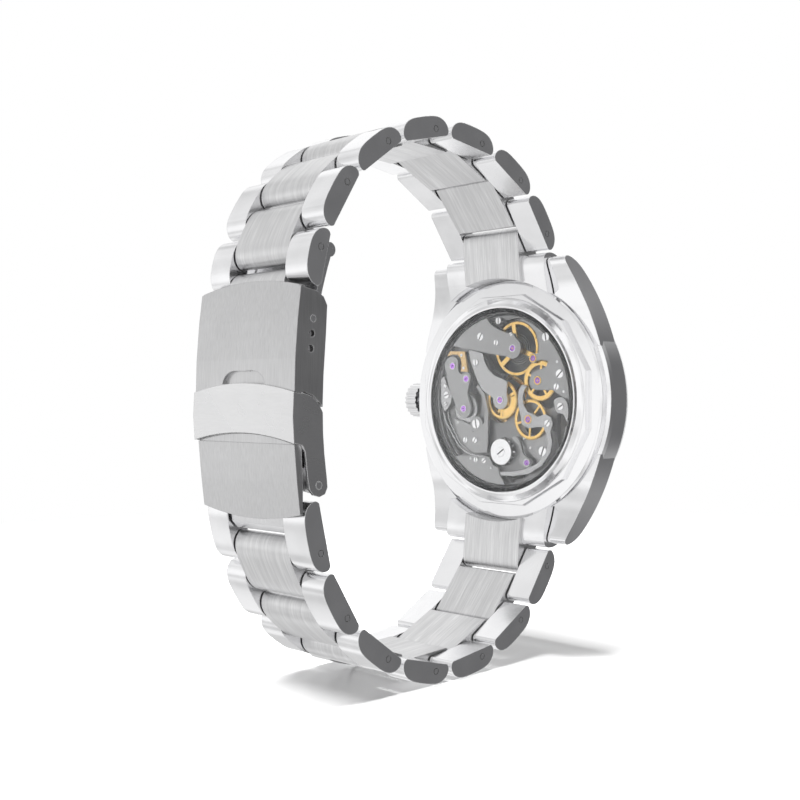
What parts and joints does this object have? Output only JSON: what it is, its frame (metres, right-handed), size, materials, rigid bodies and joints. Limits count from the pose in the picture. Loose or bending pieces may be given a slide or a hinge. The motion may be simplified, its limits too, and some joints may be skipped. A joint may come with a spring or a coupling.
{
  "type": "wristwatch",
  "caption": "Skeleton chronograph wristwatch with a rear display window, a visible geared movement and a steel link bracelet closed by a folding clasp",
  "frame": {"origin": "centre of the rear crystal's outer face", "axes": "+X to the crown (3 o'clock), +Y from the dial towards the wrist, +Z to 12 o'clock"},
  "size_m": [0.0418, 0.0587, 0.0762],
  "materials": {
    "brushed_steel_links": "brushed along the bracelet",
    "polished_steel": "polished",
    "sapphire": "polished",
    "gasket_rubber": "matt",
    "rhodium_plate": "frosted",
    "lever_steel": "fine grained",
    "gilt_brass": "satin gilt",
    "copper_gilt": "satin",
    "jewel_ruby": "polished",
    "hand_steel": "polished"
  },
  "bodies": {
    "case": {"mid_case": "polished_steel", "bezel": "polished_steel", "front_crystal": "sapphire", "crystal_gaskets": "gasket_rubber", "movement_ring": "rhodium_plate", "caseback": "polished_steel", "back_crystal": "sapphire", "crown_tube": "polished_steel", "openworked_dial": "rhodium_plate", "mainplate": "rhodium_plate", "train_plate": "rhodium_plate", "balance_cock": "rhodium_plate", "chronograph_bridge": "rhodium_plate", "train_bridge": "rhodium_plate", "ratchet_bridge": "rhodium_plate", "chronograph_levers": "lever_steel", "counter_bridge": "rhodium_plate", "lower_bridges": "rhodium_plate", "coupling_lever": "lever_steel", "hammer_clamp": "copper_gilt", "jewels": "jewel_ruby", "movement_screws": "lever_steel", "end_links": "brushed_steel_links", "lug_spring_bars": "polished_steel", "driving_wheel": "gilt_brass", "small_seconds_hand": "hand_steel", "coupling_wheel": "gilt_brass"},
    "upper_link_1": {"upper_link_1": "brushed_steel_links"},
    "upper_link_2": {"upper_link_2": "brushed_steel_links"},
    "upper_link_3": {"upper_link_3": "brushed_steel_links"},
    "upper_link_4": {"upper_link_4": "brushed_steel_links"},
    "upper_link_5": {"upper_link_5": "brushed_steel_links"},
    "upper_link_6": {"upper_link_6": "brushed_steel_links"},
    "upper_link_7": {"upper_link_7": "brushed_steel_links"},
    "lower_link_1": {"lower_link_1": "brushed_steel_links"},
    "lower_link_2": {"lower_link_2": "brushed_steel_links"},
    "lower_link_3": {"lower_link_3": "brushed_steel_links"},
    "lower_link_4": {"lower_link_4": "brushed_steel_links"},
    "lower_link_5": {"lower_link_5": "brushed_steel_links"},
    "lower_link_6": {"lower_link_6": "brushed_steel_links"},
    "lower_link_7": {"lower_link_7": "brushed_steel_links"},
    "clasp_cover": {"clasp_cover": "brushed_steel_links", "clasp_pins": "polished_steel"},
    "safety_catch": {"safety_catch": "polished_steel"},
    "clasp_outer_blade": {"clasp_outer_blade": "brushed_steel_links"},
    "clasp_inner_blade": {"clasp_inner_blade": "brushed_steel_links"},
    "winding_stem": {"winding_stem": "polished_steel"},
    "crown": {"crown": "polished_steel"},
    "minute_train": {"centre_wheel": "gilt_brass", "minute_hand": "hand_steel"},
    "hour_hand": {"hour_hand": "hand_steel"},
    "chronograph_runner": {"chronograph_runner": "gilt_brass", "chronograph_hand": "hand_steel"},
    "escape_wheel": {"escape_wheel": "lever_steel"},
    "pallet_fork": {"pallet_fork": "lever_steel"},
    "balance": {"balance_wheel": "gilt_brass", "hairspring": "lever_steel"},
    "barrel": {"mainspring_barrel": "gilt_brass", "ratchet_wheel": "lever_steel"},
    "column_wheel": {"column_wheel": "lever_steel"}
  },
  "joints": [
    {"name": "upper_link_1_hinge", "type": "hinge", "parent": "case", "child": "upper_link_1", "pos_m": [0, 0.00005, 0.02483], "axis": [1, 0, 0], "range_deg": [0, 6.75]},
    {"name": "upper_link_2_hinge", "type": "hinge", "parent": "upper_link_1", "child": "upper_link_2", "pos_m": [0, 0.00626, 0.03198], "axis": [1, 0, 0], "range_deg": [0, 6.75]},
    {"name": "upper_link_3_hinge", "type": "hinge", "parent": "upper_link_2", "child": "upper_link_3", "pos_m": [0, 0.01487, 0.03592], "axis": [1, 0, 0], "range_deg": [0, 6.75]},
    {"name": "upper_link_4_hinge", "type": "hinge", "parent": "upper_link_3", "child": "upper_link_4", "pos_m": [0, 0.02433, 0.03637], "axis": [1, 0, 0], "range_deg": [0, 6.75]},
    {"name": "upper_link_5_hinge", "type": "hinge", "parent": "upper_link_4", "child": "upper_link_5", "pos_m": [0, 0.03328, 0.03325], "axis": [1, 0, 0], "range_deg": [0, 6.75]},
    {"name": "upper_link_6_hinge", "type": "hinge", "parent": "upper_link_5", "child": "upper_link_6", "pos_m": [0, 0.04041, 0.02703], "axis": [1, 0, 0], "range_deg": [0, 6.75]},
    {"name": "upper_link_7_hinge", "type": "hinge", "parent": "upper_link_6", "child": "upper_link_7", "pos_m": [0, 0.04471, 0.01859], "axis": [1, 0, 0], "range_deg": [0, 6.75]},
    {"name": "clasp_cover_hinge", "type": "hinge", "parent": "upper_link_7", "child": "clasp_cover", "pos_m": [0, 0.0462, 0.0098], "axis": [1, 0, 0], "range_deg": [-4, 0]},
    {"name": "outer_blade_hinge", "type": "hinge", "parent": "clasp_cover", "child": "clasp_outer_blade", "pos_m": [0, 0.0454, -0.0103], "axis": [1, 0, 0], "range_deg": [0, 86.23]},
    {"name": "inner_blade_hinge", "type": "hinge", "parent": "clasp_outer_blade", "child": "clasp_inner_blade", "pos_m": [0, 0.0417, 0.0187], "axis": [1, 0, 0], "range_deg": [-131.13, 0]},
    {"name": "lower_link_1_hinge", "type": "hinge", "parent": "case", "child": "lower_link_1", "pos_m": [0, 0.00005, -0.02483], "axis": [1, 0, 0], "range_deg": [-6.75, 0]},
    {"name": "lower_link_2_hinge", "type": "hinge", "parent": "lower_link_1", "child": "lower_link_2", "pos_m": [0, 0.00626, -0.03198], "axis": [1, 0, 0], "range_deg": [-6.75, 0]},
    {"name": "lower_link_3_hinge", "type": "hinge", "parent": "lower_link_2", "child": "lower_link_3", "pos_m": [0, 0.01487, -0.03592], "axis": [1, 0, 0], "range_deg": [-6.75, 0]},
    {"name": "lower_link_4_hinge", "type": "hinge", "parent": "lower_link_3", "child": "lower_link_4", "pos_m": [0, 0.02433, -0.03637], "axis": [1, 0, 0], "range_deg": [-6.75, 0]},
    {"name": "lower_link_5_hinge", "type": "hinge", "parent": "lower_link_4", "child": "lower_link_5", "pos_m": [0, 0.03328, -0.03325], "axis": [1, 0, 0], "range_deg": [-6.75, 0]},
    {"name": "lower_link_6_hinge", "type": "hinge", "parent": "lower_link_5", "child": "lower_link_6", "pos_m": [0, 0.04041, -0.02703], "axis": [1, 0, 0], "range_deg": [-6.75, 0]},
    {"name": "lower_link_7_hinge", "type": "hinge", "parent": "lower_link_6", "child": "lower_link_7", "pos_m": [0, 0.04471, -0.01859], "axis": [1, 0, 0], "range_deg": [0, 2]},
    {"name": "safety_catch_hinge", "type": "hinge", "parent": "clasp_cover", "child": "safety_catch", "pos_m": [0, 0.0454, -0.0103], "axis": [1, 0, 0], "range_deg": [-95, 0]},
    {"name": "crown_pull", "type": "slide", "parent": "case", "child": "winding_stem", "axis": [1, 0, 0], "range_m": [0, 0.001]},
    {"name": "crown_turn", "type": "hinge", "parent": "winding_stem", "child": "crown", "pos_m": [0.021, -0.0052, 0], "axis": [1, 0, 0], "continuous": true},
    {"name": "minute_turn", "type": "hinge", "parent": "case", "child": "minute_train", "pos_m": [0, -0.003, 0], "axis": [0, 1, 0], "continuous": true},
    {"name": "hour_turn", "type": "hinge", "parent": "case", "child": "hour_hand", "pos_m": [0, -0.003, 0], "axis": [0, 1, 0], "continuous": true},
    {"name": "chronograph_runner_turn", "type": "hinge", "parent": "case", "child": "chronograph_runner", "pos_m": [0, -0.003, 0], "axis": [0, 1, 0], "continuous": true},
    {"name": "escape_wheel_turn", "type": "hinge", "parent": "case", "child": "escape_wheel", "pos_m": [-0.0065, -0.003, 0.00635], "axis": [0, 1, 0], "range_deg": [-24, 0]},
    {"name": "pallet_fork_rock", "type": "hinge", "parent": "case", "child": "pallet_fork", "pos_m": [-0.00455, -0.003, 0.0071], "axis": [0, 1, 0], "range_deg": [-5, 5]},
    {"name": "balance_swing", "type": "hinge", "parent": "case", "child": "balance", "pos_m": [-0.0025, -0.003, 0.008], "axis": [0, 1, 0], "range_deg": [-135, 135]},
    {"name": "barrel_turn", "type": "hinge", "parent": "case", "child": "barrel", "pos_m": [0.0076, -0.003, -0.0014], "axis": [0, 1, 0], "continuous": true},
    {"name": "column_wheel_turn", "type": "hinge", "parent": "case", "child": "column_wheel", "pos_m": [0, -0.003, -0.0081], "axis": [0, 1, 0], "continuous": true}
  ],
  "couplings": [
    {"joint": "upper_link_2_hinge", "follows": "upper_link_1_hinge", "ratio": 1},
    {"joint": "upper_link_3_hinge", "follows": "upper_link_1_hinge", "ratio": 1},
    {"joint": "upper_link_4_hinge", "follows": "upper_link_1_hinge", "ratio": 1},
    {"joint": "upper_link_5_hinge", "follows": "upper_link_1_hinge", "ratio": 1},
    {"joint": "upper_link_6_hinge", "follows": "upper_link_1_hinge", "ratio": 1},
    {"joint": "upper_link_7_hinge", "follows": "upper_link_1_hinge", "ratio": 1},
    {"joint": "clasp_cover_hinge", "follows": "upper_link_1_hinge", "ratio": -0.59259},
    {"joint": "outer_blade_hinge", "follows": "upper_link_1_hinge", "ratio": 12.759},
    {"joint": "inner_blade_hinge", "follows": "upper_link_1_hinge", "ratio": -19.411},
    {"joint": "lower_link_1_hinge", "follows": "upper_link_1_hinge", "ratio": -1},
    {"joint": "lower_link_2_hinge", "follows": "upper_link_1_hinge", "ratio": -1},
    {"joint": "lower_link_3_hinge", "follows": "upper_link_1_hinge", "ratio": -1},
    {"joint": "lower_link_4_hinge", "follows": "upper_link_1_hinge", "ratio": -1},
    {"joint": "lower_link_5_hinge", "follows": "upper_link_1_hinge", "ratio": -1},
    {"joint": "lower_link_6_hinge", "follows": "upper_link_1_hinge", "ratio": -1}
  ]
}
